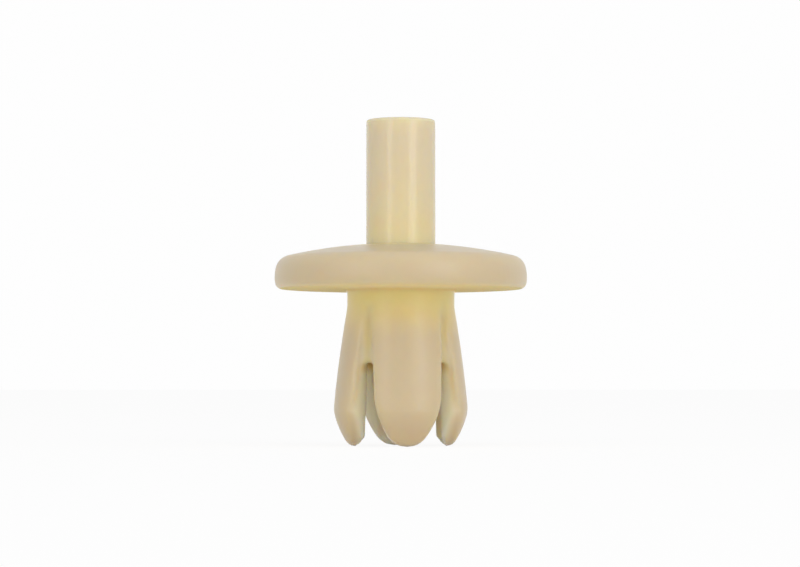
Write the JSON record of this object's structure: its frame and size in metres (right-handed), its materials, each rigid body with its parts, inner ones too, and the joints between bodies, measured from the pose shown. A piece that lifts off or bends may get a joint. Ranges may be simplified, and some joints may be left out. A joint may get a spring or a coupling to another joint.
{
  "type": "plastic drive rivet",
  "caption": "Push-in plastic drive rivet: domed round head, short collar, flared round-nosed legs and a smooth pin that is pushed flush with the head to lock the legs behind a panel.",
  "frame": {"origin": "middle of the base, on the rivet's axis, at the level of the toes it stands on", "axes": "+Z along the rivet's axis from the toes towards the pin; the four legs point along +X, +Y, -X and -Y"},
  "size_m": [0.02, 0.02, 0.0259],
  "materials": {
    "clip_nylon": "satin, translucent natural nylon",
    "pin_nylon": "satin, translucent natural nylon"
  },
  "bodies": {
    "clip": {"clip_body": "clip_nylon"},
    "pin": {"drive_pin": "pin_nylon"}
  },
  "joints": [
    {"name": "pin_drive", "type": "slide", "parent": "clip", "child": "pin", "axis": [0, 0, -1], "range_m": [0, 0.00983]}
  ]
}
